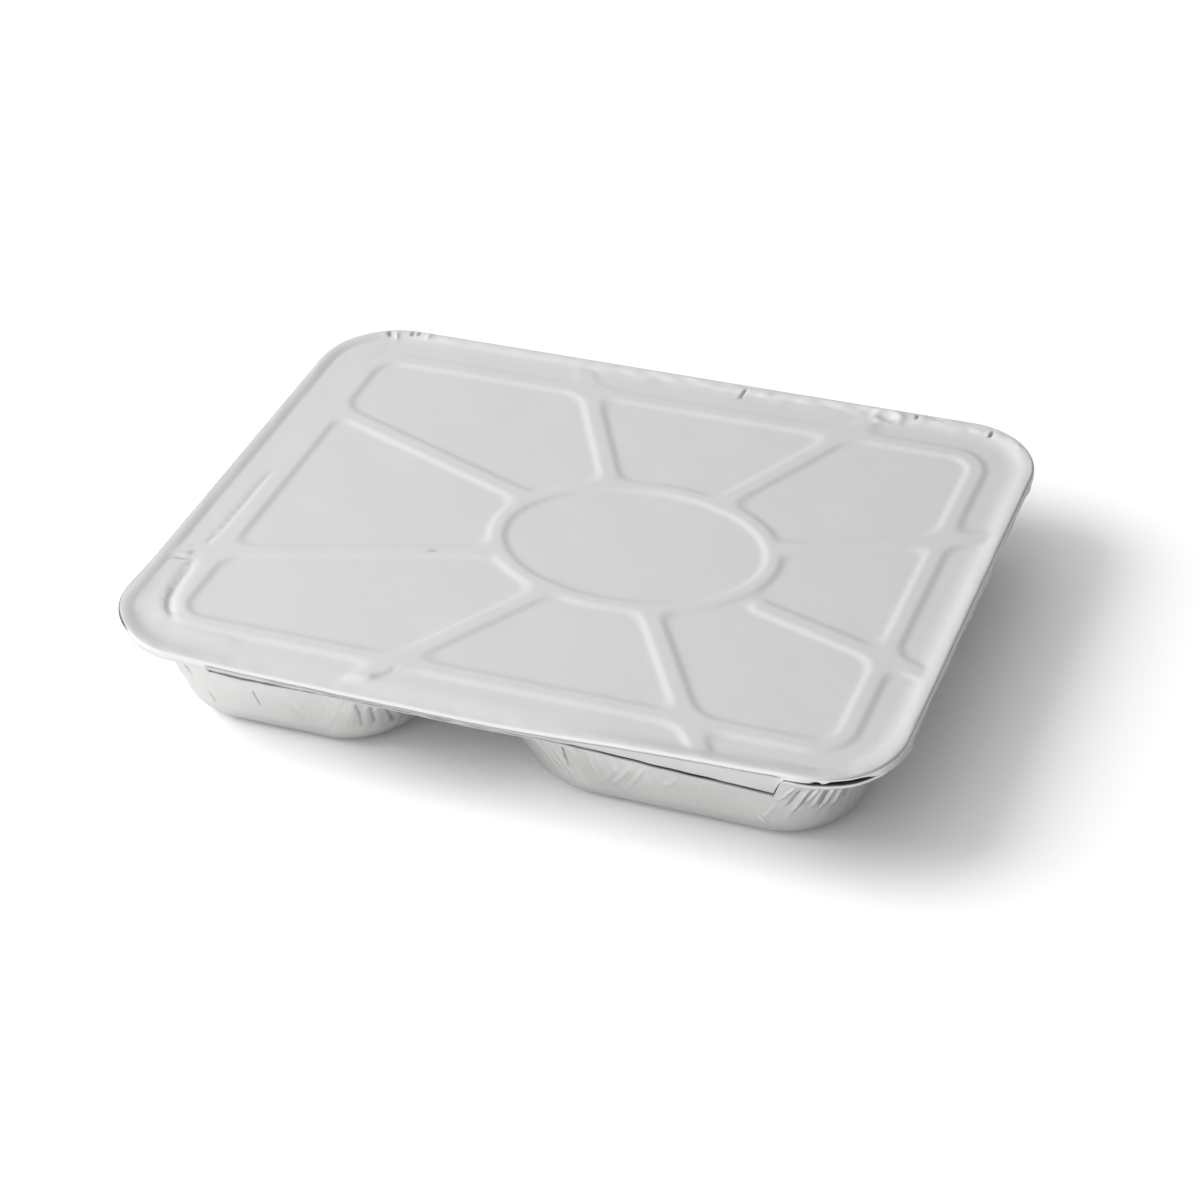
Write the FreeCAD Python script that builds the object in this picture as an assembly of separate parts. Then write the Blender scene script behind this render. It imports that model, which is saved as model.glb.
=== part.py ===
import FreeCAD, Part
import math
import os

# A lidded two-compartment menu tray of pressed aluminium foil, in millimetres.
# X runs along the long side, Y from front to back, Z up. The origin is on the
# table, under the middle of the closed container.

# Closed container
length = 227.0             # over the lid's folded edges, along X
width = 177.0              # over the lid's folded edges, along Y
height = 32.0              # table to the crest of the lid's rim
corner_radius = 24.0       # outside corners, seen from above

# Lid sheet and its rim
lid_gauge = 0.2
rim_crest = 1.2            # flat top of the rim, before it slopes inwards
rim_slope = 3.0            # run of the slope from the crest down to the gutters
rim_rise = 1.6             # crest of the rim above the ribs
rim_round = 0.8            # outside fold between the crest and the skirt
rim_facets = 3             # flats that the fold is made of
skirt_depth = 3.4          # flaps folded down along the four straight sides
corner_skirt = 1.8         # shorter turned edge round the four corners

# Pressed ribs of the lid: a frame, an oval ring and eight straight ribs
relief_depth = 1.0         # ribs above the fields between them
flank = 1.8                # run of a rib's sloping side
frame_inset = 13.8         # lid's edge to the frame rib's crest
frame_crest = 3.2
frame_radius = 11.0        # outer corners of the frame's crest
ring_centre = (14.8, -0.8)
ring_semi_axes = (42.3, 30.5)   # outer edge of the ring's crest
ring_crest = 2.8
rib_crest = 4.4
field_radius = 3.6         # corners where a rib meets the frame
ring_field_radius = 2.3    # corners where a rib meets the ring
small_radius = 5.0         # corners up to this radius are pressed as flats
small_flats = 3
ring_arcs = 3              # arcs that follow the ring along one field
ring_curving = 0.9         # share of the ring's outline that is arcs, the rest short straights

# Each straight rib runs from the ring, through the frame, to the rim.
# Counter-clockwise: where it leaves the ring, and where it meets the frame.
ribs = (
    ((59.0, -18.5), (95.0, -29.8)),
    ((59.0, 11.0), (95.0, 26.5)),
    ((33.5, 29.8), (53.5, 68.2)),
    ((-4.4, 30.7), (-24.9, 69.2)),
    ((-27.5, 14.0), (-93.0, 38.3)),
    ((-26.5, -17.0), (-93.0, -38.3)),
    ((-3.0, -32.0), (-26.5, -69.5)),
    ((31.5, -32.5), (54.5, -69.5)),
)

# Front flap of the lid, which hangs open towards the right
flap_start = 29.0          # where it begins to leave the skirt's lower edge
flap_end = 87.0            # its loose end, just before the corner
flap_depth = 7.6           # at the loose end, below the crest of the rim
flap_end_radius = 1.2

# Tray sheet, flange and rolled bead
tray_gauge = 0.2
lid_clearance = 0.06       # flange under the lid's gutters
bead_clearance = 0.1       # bead inside the lid's skirt
bead_radius = 1.1
bead_rise = 0.76           # bead's centre above the flange's top
bead_start = -60.0         # degrees, where the flange's underside runs into the bead
bead_end = 235.0           # degrees, where the roll stops under the bead
bead_facets = 7            # flats that the roll is made of

# Two compartments, left and right of a raised divider
flange_width = 7.5         # lid's edge to the mouth of a compartment
divider_x = -10.5
divider_width = 9.0        # at the top
outer_draft = 4.4          # run of the outer walls over their full depth
divider_draft = 14.5       # run of the divider's walls over their full depth
mouth_radius = 21.0        # corners of a compartment at the mouth
floor_corner_radius = 19.0   # corners where the walls would meet the floor
floor_fillet = 5.0

# Pleats pressed into the corners, and soft ripples along the walls
pleats = 8                 # folds round one corner
pleat_depth = 0.38
ripples = 3                # waves along one straight wall
ripple_depth = 0.15
fillet_steps = 2           # flats of the floor's fillet

overshoot = 0.1            # how far a cutting shape passes the face it cuts

rim_z = height
web_z = rim_z - rim_rise
field_z = web_z - relief_depth
flange_z = field_z - lid_gauge - lid_clearance
half_x = length / 2
half_y = width / 2


def line_through(first, second, shift):
    """A line as (point, direction), moved to its left by shift."""
    dx = second[0] - first[0]
    dy = second[1] - first[1]
    size = math.hypot(dx, dy)
    dx /= size
    dy /= size
    return ((first[0] - dy * shift, first[1] + dx * shift), (dx, dy))


def crossing(line_a, line_b):
    """The point where two lines meet."""
    (ax, ay), (ux, uy) = line_a
    (bx, by), (vx, vy) = line_b
    along = ((bx - ax) * vy - (by - ay) * vx) / (ux * vy - uy * vx)
    return (ax + ux * along, ay + uy * along)


def corner_arcs(corners, inset, z):
    """The rounded corners of an outline (x, y, radius), moved inwards by inset.

    Each is (start, end, centre, turn in degrees), and a small corner is several turns of no
    radius, so that its flats are the lines between them.
    """
    count = len(corners)
    sides = [line_through(corners[i], corners[(i + 1) % count], inset) for i in range(count)]
    arcs = []
    for i in range(count):
        before = sides[i - 1]
        after = sides[i]
        x, y = crossing(before, after)
        (ux, uy), (vx, vy) = before[1], after[1]
        turn = math.atan2(ux * vy - uy * vx, ux * vx + uy * vy)
        way = math.copysign(1.0, turn)
        radius = corners[i][2] - inset * way
        reach = radius * math.tan(abs(turn) / 2)
        side = radius * way
        start = FreeCAD.Vector(x - ux * reach, y - uy * reach, z)
        end = FreeCAD.Vector(x + vx * reach, y + vy * reach, z)
        centre = FreeCAD.Vector(start.x - uy * side, start.y + ux * side, z)
        if corners[i][2] > small_radius:
            arcs.append((start, end, centre, math.degrees(turn)))
            continue
        for flat in range(small_flats + 1):
            point = centre + turned(start - centre, math.degrees(turn) * flat / small_flats)
            arcs.append((point, point, centre, 0.0))
    return arcs


def turned(vector, degrees):
    """A vector turned about the vertical."""
    return FreeCAD.Rotation(FreeCAD.Vector(0, 0, 1), degrees).multVec(vector)


def level_face(arcs):
    """The flat face inside one level of an outline."""
    edges = []
    for i, (start, end, centre, turn) in enumerate(arcs):
        if turn:
            middle = centre + turned(start - centre, turn / 2)
            edges.append(Part.Arc(start, middle, end).toShape())
        edges.append(Part.makeLine(end, arcs[(i + 1) % len(arcs)][0]))
    return Part.Face(Part.Wire(edges))


def band(low, high):
    """The faces between two levels of one outline: planes along its sides, cones round its corners."""
    faces = []
    for i, (start, end, centre, turn) in enumerate(low):
        if turn:
            slope = Part.makeLine(start, high[i][0])
            faces += slope.revolve(centre, FreeCAD.Vector(0, 0, 1), turn).Faces
        following = (i + 1) % len(low)
        points = [end, low[following][0], high[following][0], high[i][1], end]
        faces.append(Part.Face(Part.makePolygon(points)))
    return faces


def sewn_solid(faces):
    """One solid from faces that close on each other."""
    skin = Part.Compound(faces)
    skin.sewShape()
    solid = Part.makeSolid(skin.Shells[0])
    if solid.Volume < 0:
        solid.reverse()
    return solid


def stack(corners, levels):
    """A solid through several levels (inset, z) of one outline."""
    arcs = [corner_arcs(corners, inset, z) for inset, z in levels]
    faces = [level_face(arcs[0]), level_face(arcs[-1])]
    for low, high in zip(arcs, arcs[1:]):
        faces += band(low, high)
    return sewn_solid(faces)


def rectangle(left, front, right, back, radius):
    """Corners of an upright rectangle, counter-clockwise."""
    return [(right, front, radius), (right, back, radius), (left, back, radius), (left, front, radius)]


lid_plan = rectangle(-half_x, -half_y, half_x, half_y, corner_radius)


def ring_tangent(angle, inwards=0.0):
    """The ring's outer crest line at one angle of its oval, as a tangent line."""
    a = ring_semi_axes[0] - inwards
    b = ring_semi_axes[1] - inwards
    point = (ring_centre[0] + a * math.cos(angle), ring_centre[1] + b * math.sin(angle))
    direction = (-a * math.sin(angle), b * math.cos(angle))
    size = math.hypot(*direction)
    return (point, (direction[0] / size, direction[1] / size))


def ring_angle(point):
    """The oval's own angle towards a point."""
    a, b = ring_semi_axes
    return math.atan2((point[1] - ring_centre[1]) / b, (point[0] - ring_centre[0]) / a)


def frame_side(point, inset):
    """The side of the lid's plan, moved in by inset, that a rib's frame end lies on."""
    sides = (
        (half_x - abs(point[0]), (math.copysign(half_x - inset, point[0]), 0.0), (0.0, 1.0)),
        (half_y - abs(point[1]), (0.0, math.copysign(half_y - inset, point[1])), (1.0, 0.0)),
    )
    nearest = min(sides)
    return (nearest[1], nearest[2])


def rib_edges(index):
    """The two crest edges of a rib, as lines: the clockwise one and the other."""
    ring_end, frame_end = ribs[index]
    half = rib_crest / 2
    return line_through(ring_end, frame_end, -half), line_through(ring_end, frame_end, half)


def turned_corner(first, second, inset):
    """The corner of the moved-in plan between two ribs' sides, or nothing on one side."""
    side_a = frame_side(first, inset)
    side_b = frame_side(second, inset)
    if side_a[1] == side_b[1]:
        return []
    return [crossing(side_a, side_b)]


def sector_corners(index):
    """The field between rib index and the next one, inside the frame."""
    following = (index + 1) % len(ribs)
    first = rib_edges(index)[1]
    last = rib_edges(following)[0]
    inset = frame_inset + frame_crest
    first_end = ribs[index][1]
    last_end = ribs[following][1]
    inner_radius = frame_radius - frame_crest
    corners = [(*crossing(first, frame_side(first_end, inset)), field_radius)]
    corners += [(*c, inner_radius) for c in turned_corner(first_end, last_end, inset)]
    corners.append((*crossing(last, frame_side(last_end, inset)), field_radius))
    start = ring_angle(ribs[following][0])
    sweep = (start - ring_angle(ribs[index][0])) % (2 * math.pi)
    tangents = [ring_tangent(start - sweep * (k + 0.5) / ring_arcs) for k in range(ring_arcs)]
    corners.append((*crossing(last, tangents[0]), ring_field_radius))
    for k in range(ring_arcs - 1):
        x, y = crossing(tangents[k], tangents[k + 1])
        corners.append((x, y, ring_curve(tangents[k], tangents[k + 1], (x, y))))
    corners.append((*crossing(first, tangents[-1]), ring_field_radius))
    return corners


def ring_curve(before, after, corner):
    """The radius that lets an arc run from one tangent point on the ring to the next."""
    reach = min(math.dist(corner, before[0]), math.dist(corner, after[0]))
    (ux, uy), (vx, vy) = before[1], after[1]
    turn = math.acos(min(1.0, abs(ux * vx + uy * vy)))
    return ring_curving * reach / math.tan(turn / 2)


def medallion_corners():
    """The plain oval field inside the ring."""
    count = ring_arcs * len(ribs) // 2
    tangents = [ring_tangent(2 * math.pi * k / count, ring_crest) for k in range(count)]
    corners = []
    for k in range(count):
        x, y = crossing(tangents[k - 1], tangents[k])
        corners.append((x, y, ring_curve(tangents[k - 1], tangents[k], (x, y))))
    return corners


def gutter_corners(index):
    """The field between the frame and the rim, from rib index to the next one."""
    following = (index + 1) % len(ribs)
    first = rib_edges(index)[1]
    last = rib_edges(following)[0]
    first_end = ribs[index][1]
    last_end = ribs[following][1]
    outer = rim_crest - field_radius
    corners = [(*crossing(first, frame_side(first_end, outer)), field_radius)]
    corners += [(*c, corner_radius - outer) for c in turned_corner(first_end, last_end, outer)]
    corners.append((*crossing(last, frame_side(last_end, outer)), field_radius))
    corners.append((*crossing(last, frame_side(last_end, frame_inset)), field_radius))
    corners += [(*c, frame_radius) for c in turned_corner(first_end, last_end, frame_inset)]
    corners.append((*crossing(first, frame_side(first_end, frame_inset)), field_radius))
    return corners


def field_cutter(corners):
    """A field of the lid: full size at the ribs' level, smaller on its floor."""
    slack = flank * overshoot / relief_depth
    return stack(corners, [(flank + slack, field_z - overshoot), (-slack, web_z + overshoot)])


def rib_web():
    """The sheet of ribs: a plate with the seventeen fields cut out of it."""
    inset = rim_crest + 2 * overshoot
    plate = stack(lid_plan, [(inset, field_z - relief_depth), (inset, web_z)])
    cutters = [field_cutter(sector_corners(i)) for i in range(len(ribs))]
    cutters += [field_cutter(gutter_corners(i)) for i in range(len(ribs))]
    cutters.append(field_cutter(medallion_corners()))
    return plate.cut(cutters)


def pressed_block(web, shrink, bottom_z):
    """Everything under one face of the lid: its outside, or the same shape one gauge in."""
    levels = [(shrink, bottom_z)]
    for step in range(rim_facets + 1):
        angle = math.pi / 2 * step / rim_facets
        levels.append((rim_round - (rim_round - shrink) * math.cos(angle),
                       rim_z - rim_round + (rim_round - shrink) * math.sin(angle)))
    slope = rim_slope / (rim_z - field_z)
    basin = stack(lid_plan, [(rim_crest + rim_slope, field_z - shrink),
                             (rim_crest - slope * overshoot, rim_z - shrink + overshoot)])
    return stack(lid_plan, levels).cut(basin).fuse(web.translated(FreeCAD.Vector(0, 0, -shrink)))


def middle_box(span_x, span_y):
    """An upright block over the container's middle."""
    return Part.makeBox(span_x, span_y, height, FreeCAD.Vector(-span_x / 2, -span_y / 2, 0))


def corner_trims():
    """What is cut away so that the turned edge is shorter round the corners."""
    low = rim_z - skirt_depth - overshoot
    high = rim_z - corner_skirt
    skirt = stack(lid_plan, [(-overshoot, low), (-overshoot, high)])
    skirt = skirt.cut(stack(lid_plan, [(rim_crest, low - overshoot), (rim_crest, high + overshoot)]))
    straight_x = length - 2 * corner_radius
    straight_y = width - 2 * corner_radius
    return skirt.cut([middle_box(straight_x, width + 4 * overshoot),
                      middle_box(length + 4 * overshoot, straight_y)])


def front_flap():
    """The loose stretch of the front flap, deepest at its open end."""
    top = rim_z - rim_round - overshoot
    shallow = rim_z - skirt_depth
    deep = rim_z - flap_depth
    points = [(flap_start, top), (flap_start, shallow), (flap_end, deep), (flap_end, top)]
    corners = [FreeCAD.Vector(x, -half_y, z) for x, z in points]
    face = Part.Face(Part.makePolygon(corners + corners[:1]))
    flap = face.extrude(FreeCAD.Vector(0, lid_gauge, 0))
    tip = [e for e in flap.Edges
           if all(abs(v.X - flap_end) < overshoot and abs(v.Z - deep) < overshoot for v in e.Vertexes)]
    return flap.makeFillet(flap_end_radius, tip)


def make_lid():
    """One pressed sheet, folded down over the tray's bead."""
    web = rib_web()
    outside = pressed_block(web, 0.0, rim_z - skirt_depth)
    inside = pressed_block(web, lid_gauge, rim_z - skirt_depth - overshoot)
    sheet = outside.cut([inside, corner_trims()])
    return sheet.fuse(front_flap()).removeSplitter()


def wall_waves(count, depth):
    """Offsets along a wall: outwards and inwards in turn, still at both ends."""
    return [0.0] + [depth * (1 if k % 2 else -1) for k in range(1, 2 * count)] + [0.0]


def compartment_section(bounds, radius, pleat, ripple, z):
    """One level of a compartment: a closed outline whose corners are pleated."""
    left, front, right, back = bounds
    centres = ((right - radius, front + radius, -90), (right - radius, back - radius, 0),
               (left + radius, back - radius, 90), (left + radius, front + radius, 180))
    points = []
    for centre_x, centre_y, start in centres:
        for k, wave in enumerate(wall_waves(pleats, pleat)):
            angle = math.radians(start + 90 * k / (2 * pleats))
            reach = radius + wave
            points.append((centre_x + reach * math.cos(angle), centre_y + reach * math.sin(angle)))
        next_x, next_y, _ = centres[(centres.index((centre_x, centre_y, start)) + 1) % len(centres)]
        angle = math.radians(start + 90)
        for k, wave in list(enumerate(wall_waves(ripples, ripple)))[1:-1]:
            share = k / (2 * ripples)
            reach = radius + wave
            points.append((centre_x + (next_x - centre_x) * share + reach * math.cos(angle),
                           centre_y + (next_y - centre_y) * share + reach * math.sin(angle)))
    corners = [FreeCAD.Vector(x, y, z) for x, y in points]
    return Part.makePolygon(corners + corners[:1])


def compartment_skin(left, right, left_draft, right_draft, grow):
    """The walls and floor of one face of a compartment, and the wire round its mouth."""
    floor_z = tray_gauge
    depth = flange_z - floor_z
    mouth = (left, -half_y + flange_width, right, half_y - flange_width)
    levels = []
    for step in range(fillet_steps + 1):
        angle = math.pi / 2 * step / fillet_steps
        levels.append((floor_z + floor_fillet * (1 - math.cos(angle)),
                       -floor_fillet * (1 - math.sin(angle)), 0.0, 0.0))
    levels.append((floor_z + depth / 2, 0.0, pleat_depth / 2, ripple_depth))
    levels.append((flange_z, 0.0, pleat_depth, ripple_depth))
    wires = []
    for z, swell, pleat, ripple in levels:
        low = 1 - (z - floor_z) / depth
        swell += grow
        bounds = (mouth[0] + left_draft * low - swell, mouth[1] + outer_draft * low - swell,
                  mouth[2] - right_draft * low + swell, mouth[3] - outer_draft * low + swell)
        radius = mouth_radius + (floor_corner_radius - mouth_radius) * low + swell
        wires.append(compartment_section(bounds, radius, pleat, ripple, z - grow))
    walls = Part.makeLoft(wires, False, True)
    return walls.Faces + [Part.Face(wires[0])], wires[-1]


def pressed_face(grow, edge_inset):
    """One face of the tray's sheet, flange and both compartments, and the level of its edge."""
    outer = half_x - flange_width
    half_divider = divider_width / 2
    left_skin, left_mouth = compartment_skin(
        -outer, divider_x - half_divider, outer_draft, divider_draft, grow)
    right_skin, right_mouth = compartment_skin(
        divider_x + half_divider, outer, divider_draft, outer_draft, grow)
    edge = corner_arcs(lid_plan, edge_inset, flange_z - grow)
    border = level_face(edge).OuterWire
    flange = Part.makeFace([border, left_mouth, right_mouth], "Part::FaceMakerBullseye")
    return left_skin + right_skin + flange.Faces, edge


def bead_level(radius, degrees):
    """The level of the tray's plan where the bead's section is at an angle, 0 facing inwards."""
    angle = math.radians(degrees)
    inset = lid_gauge + bead_clearance + bead_radius + radius * math.cos(angle)
    return corner_arcs(lid_plan, inset, flange_z + bead_rise + radius * math.sin(angle))


def make_tray():
    """One pressed sheet: flange, two compartments, and the edge rolled into an open bead."""
    inner_radius = bead_radius - tray_gauge
    fold = -math.degrees(math.asin(bead_rise / bead_radius))
    middle_inset = lid_gauge + bead_clearance + bead_radius
    upper_inset = middle_inset + bead_radius * math.cos(math.radians(fold))
    lower_inset = middle_inset + inner_radius * math.cos(math.radians(bead_start))
    upper, upper_edge = pressed_face(0.0, upper_inset)
    lower, lower_edge = pressed_face(tray_gauge, lower_inset)
    levels = [lower_edge]
    for step in range(bead_facets + 1):
        levels.append(bead_level(inner_radius, bead_start + (bead_end - bead_start) * step / bead_facets))
    for step in range(bead_facets):
        levels.append(bead_level(bead_radius, bead_end + (fold - bead_end) * step / bead_facets))
    levels.append(upper_edge)
    faces = upper + lower
    for first, second in zip(levels, levels[1:]):
        faces += band(first, second)
    return sewn_solid(faces)


os.makedirs("parts", exist_ok=True)
for name, shape in (("foil_tray", make_tray()), ("foil_lid", make_lid())):
    solid = shape.Solids[0]
    print(name, "solids", len(shape.Solids), "valid", solid.isValid(), "faces", len(solid.Faces),
          "volume %.1f" % solid.Volume, solid.BoundBox)
    solid.exportStep("parts/" + name + ".step")
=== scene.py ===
import math

import bpy
import numpy as np
from mathutils import Matrix, Vector
from mathutils.geometry import delaunay_2d_cdt


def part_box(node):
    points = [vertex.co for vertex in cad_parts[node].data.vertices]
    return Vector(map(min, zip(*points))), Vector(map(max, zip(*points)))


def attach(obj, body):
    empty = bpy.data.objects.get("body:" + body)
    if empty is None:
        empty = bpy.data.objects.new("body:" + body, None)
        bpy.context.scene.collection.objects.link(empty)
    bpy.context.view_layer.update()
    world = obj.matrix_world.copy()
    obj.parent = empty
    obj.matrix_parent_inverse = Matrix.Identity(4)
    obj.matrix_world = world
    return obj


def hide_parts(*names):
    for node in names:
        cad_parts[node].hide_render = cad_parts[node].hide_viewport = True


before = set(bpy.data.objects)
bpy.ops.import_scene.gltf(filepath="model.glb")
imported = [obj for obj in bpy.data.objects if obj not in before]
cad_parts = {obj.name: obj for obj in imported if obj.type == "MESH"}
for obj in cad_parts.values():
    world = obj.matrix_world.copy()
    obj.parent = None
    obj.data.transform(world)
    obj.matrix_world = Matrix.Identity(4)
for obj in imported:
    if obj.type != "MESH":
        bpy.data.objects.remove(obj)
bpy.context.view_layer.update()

# The lid's stamped relief
# A sheet of satin aluminium foil, stamped in one stroke with a frame, an oval and eight straight
# ribs that stand above the flat fields between them. All its sizes are in millimetres.
MM = 0.001
_, lid_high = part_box("foil_lid")
half_length = lid_high.x / MM
half_width = lid_high.y / MM
rim_top = lid_high.z / MM
plan_radius = 24.0

rib_rise = 0.57
field_drop = 1.25
field_level = rim_top - field_drop
rib_flank = 3.0
frame_inset = 15.2
frame_crest = 2.6
frame_radius = 10.5
oval_centre = (14.6, -0.8)
oval_reach = (40.5, 28.8)
oval_crest = 2.0
rib_crest = 3.0
rib_fillet = 6.0
rib_lines = (
    ((58.4, -18.3), (94.0, -29.5)),
    ((58.4, 10.9), (94.0, 26.2)),
    ((33.1, 29.5), (52.9, 67.5)),
    ((-4.4, 30.4), (-24.6, 68.4)),
    ((-27.2, 13.8), (-92.0, 37.9)),
    ((-26.2, -16.8), (-92.0, -37.9)),
    ((-3.0, -31.7), (-26.2, -68.7)),
    ((31.2, -32.1), (53.9, -68.7)),
)
rim_crest = 1.2
rim_slope_end = 7.4
slope_join = 0.3


def ease(share):
    """A soft step from 0 to 1."""
    share = np.clip(share, 0.0, 1.0)
    return share * share * (3 - 2 * share)


def waves(x, y, size, seed, count=7):
    """Handled foil: soft swells of about one size, in every direction, between about -1 and 1."""
    draw = np.random.RandomState(seed)
    total = np.zeros(np.shape(x))
    for _ in range(count):
        way = draw.uniform(0, 2 * math.pi)
        pace = 2 * math.pi / (size * draw.uniform(0.7, 1.4))
        start = draw.uniform(0, 2 * math.pi)
        total += np.sin((x * math.cos(way) + y * math.sin(way)) * pace + start)
    return total / math.sqrt(count)


def past_plan(x, y, inset, radius):
    """How far a point lies outside (or, below 0, inside) the lid's plan moved inwards."""
    qx = np.abs(x) - (half_length - inset - radius)
    qy = np.abs(y) - (half_width - inset - radius)
    outside = np.hypot(np.maximum(qx, 0), np.maximum(qy, 0))
    return outside + np.minimum(np.maximum(qx, qy), 0) - radius


def near_ribs(x, y):
    """Distance from the crest of the nearest rib, with soft webs where ribs meet."""
    outer = past_plan(x, y, frame_inset, frame_radius)
    inner = past_plan(x, y, frame_inset + frame_crest, frame_radius - frame_crest)
    away = np.maximum(outer, -inner)
    ox, oy = x - oval_centre[0], y - oval_centre[1]
    a, b = oval_reach
    ratio = np.sqrt((ox / a) ** 2 + (oy / b) ** 2) + 1e-9
    slope = np.sqrt((ox / a ** 2) ** 2 + (oy / b ** 2) ** 2) / ratio + 1e-9
    oval = np.abs((ratio - 1) / slope) - oval_crest / 2
    away = blend_least(away, oval)
    for (x0, y0), (x1, y1) in rib_lines:
        size = math.hypot(x1 - x0, y1 - y0)
        ux, uy = (x1 - x0) / size, (y1 - y0) / size
        along = np.maximum((x - x0) * ux + (y - y0) * uy, 0)
        side = np.hypot(x - x0 - along * ux, y - y0 - along * uy)
        away = blend_least(away, side - rib_crest / 2)
    return away


def blend_least(first, second):
    """The smaller of two distances, rounded where they cross."""
    gap = np.maximum(rib_fillet - np.abs(first - second), 0) / rib_fillet
    return np.minimum(first, second) - gap * gap * rib_fillet / 4


def pinch(x, y, at, degrees, length, width, depth):
    """A short crease: a sharp groove of that depth, or a ridge where the depth is below 0."""
    ux, uy = math.cos(math.radians(degrees)), math.sin(math.radians(degrees))
    along = (x - at[0]) * ux + (y - at[1]) * uy
    across = (y - at[1]) * ux - (x - at[0]) * uy
    return -depth * np.exp(-(along / length) ** 4) * np.exp(-np.abs(across / width) ** 1.5)


# Where the closed tray was squeezed, its edge has sagged or lifted. The tray and lid share it.
# Each pair is a place along the front edge, and how high that place lies above the even edge.
front_line = (
    (-113, 0.0), (-92, -0.2), (-83, -0.8), (-65, -1.4), (-48, -1.5), (-32, -1.8), (-14, -1.8),
    (-4, -2.0), (11, -1.8), (29, -1.0), (41, -0.2), (56, 0.4), (73, 1.0), (88, 0.7), (113, 0.2),
)
front_points = 160
front_window = 11
sag_start = 7.5
sag_run = 6.5
front_x = np.linspace(-half_length, half_length, front_points)
front_z = np.interp(front_x, *zip(*front_line))
front_z = np.pad(front_z, front_window // 2, mode="edge")
front_z = np.convolve(front_z, np.ones(front_window) / front_window, mode="valid")


def sag(x, y):
    """Height of the bent edge above its even line, along the front side."""
    share = ease((-y - (half_width - sag_start)) / sag_run)
    return np.interp(x, front_x, front_z) * share


# Short cracks and dents, mostly along the rim: where, which way in degrees, half the length, the
# width, the depth (a ridge where it is below 0), and how much shade is painted inside the crack.
rim_pinches = (
    ((-98.6, 84.4), 118, 1.4, 0.6, 0.55, 0.6), ((-96.0, 84.0), 112, 1.6, 0.6, -0.40, 0.0),
    ((-91.6, 86.4), 100, 1.2, 0.5, 0.5, 0.6), ((-89.4, 86.7), 95, 1.1, 0.5, 0.4, 0.5),
    ((-86.0, 86.2), 84, 1.5, 0.8, -0.40, 0.0), ((-80.5, 86.6), 20, 1.8, 0.6, -0.30, 0.0),
    ((19.0, 84.6), 78, 1.7, 0.36, 0.6, 0.7), ((26.0, 85.0), 15, 1.6, 0.5, -0.25, 0.0),
    ((73.0, 86.4), 95, 1.1, 0.45, 0.5, 0.7), ((79.0, 86.0), 5, 1.8, 0.5, -0.30, 0.0),
    ((91.5, 84.8), 175, 2.0, 0.7, -0.30, 0.0), ((96.3, 84.2), 82, 1.3, 0.38, 0.8, 0.9),
    ((105.6, 79.5), 150, 0.9, 0.4, -0.3, 0.0),
    ((-29.8, -79.0), 35, 2.6, 0.7, 0.25, 0.1), ((-33.0, -80.6), 10, 2.4, 0.7, -0.30, 0.0),
    ((-27.2, -76.2), 70, 1.8, 0.6, 0.22, 0.1), ((-106.0, -46.2), 8, 3.0, 0.5, 0.40, 0.3),
    ((-107.0, -44.6), 8, 2.8, 0.6, -0.35, 0.0), ((-104.3, -42.6), 75, 1.0, 0.4, 0.35, 0.6),
    ((-42.0, -45.5), 20, 0.5, 0.3, 0.03, 0.08),
    ((-38.8, -21.4), 24, 1.2, 0.35, 0.12, 0.45),
)


def crack_shade(x, y):
    """How much shade is painted at a point deep in a crack of the sheet, from 0 to 1, where little light
    gets in.
    """
    shade = np.zeros(np.shape(x))
    for at, degrees, length, width, _, painted_dark in rim_pinches:
        shade = np.maximum(shade, -pinch(x, y, at, degrees, length, width, painted_dark))
    return shade


# Two gutters on the left were pressed proud of the frame, and end at it in a dark groove. Each
# groove has its line, its width, its depth, and how far the sheet beside it is raised.
grooves = (
    (((-102.6, -44.0), (-102.0, -52.2), (-101.4, -59.0), (-100.4, -64.6), (-98.4, -69.0), (-94.5, -72.8)),
     0.75, 0.75, 1.0),
    (((-100.4, 6.0), (-101.2, -4.2), (-101.2, -17.8), (-101.5, -30.7), (-102.5, -37.4), (-105.4, -39.5),
      (-107.5, -39.8)), 0.38, 0.30, 0.8),
    (((-95.0, -73.5), (-84.0, -75.2), (-72.0, -75.4)), 0.8, 0.12, 0.5),
)


def near_line(x, y, line):
    """Distance to a bent line, how far along it the nearest place is, and whether it is on the left."""
    best = np.full(np.shape(x), 1e9)
    where = np.zeros(np.shape(x))
    left = np.zeros(np.shape(x), dtype=bool)
    for k, ((x0, y0), (x1, y1)) in enumerate(zip(line, line[1:])):
        dx, dy = x1 - x0, y1 - y0
        share = np.clip(((x - x0) * dx + (y - y0) * dy) / (dx * dx + dy * dy), 0, 1)
        away = np.hypot(x - x0 - share * dx, y - y0 - share * dy)
        where = np.where(away < best, (k + share) / (len(line) - 1), where)
        left = np.where(away < best, dx * (y - y0) - dy * (x - x0) > 0, left)
        best = np.minimum(away, best)
    return best, where, left


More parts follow.
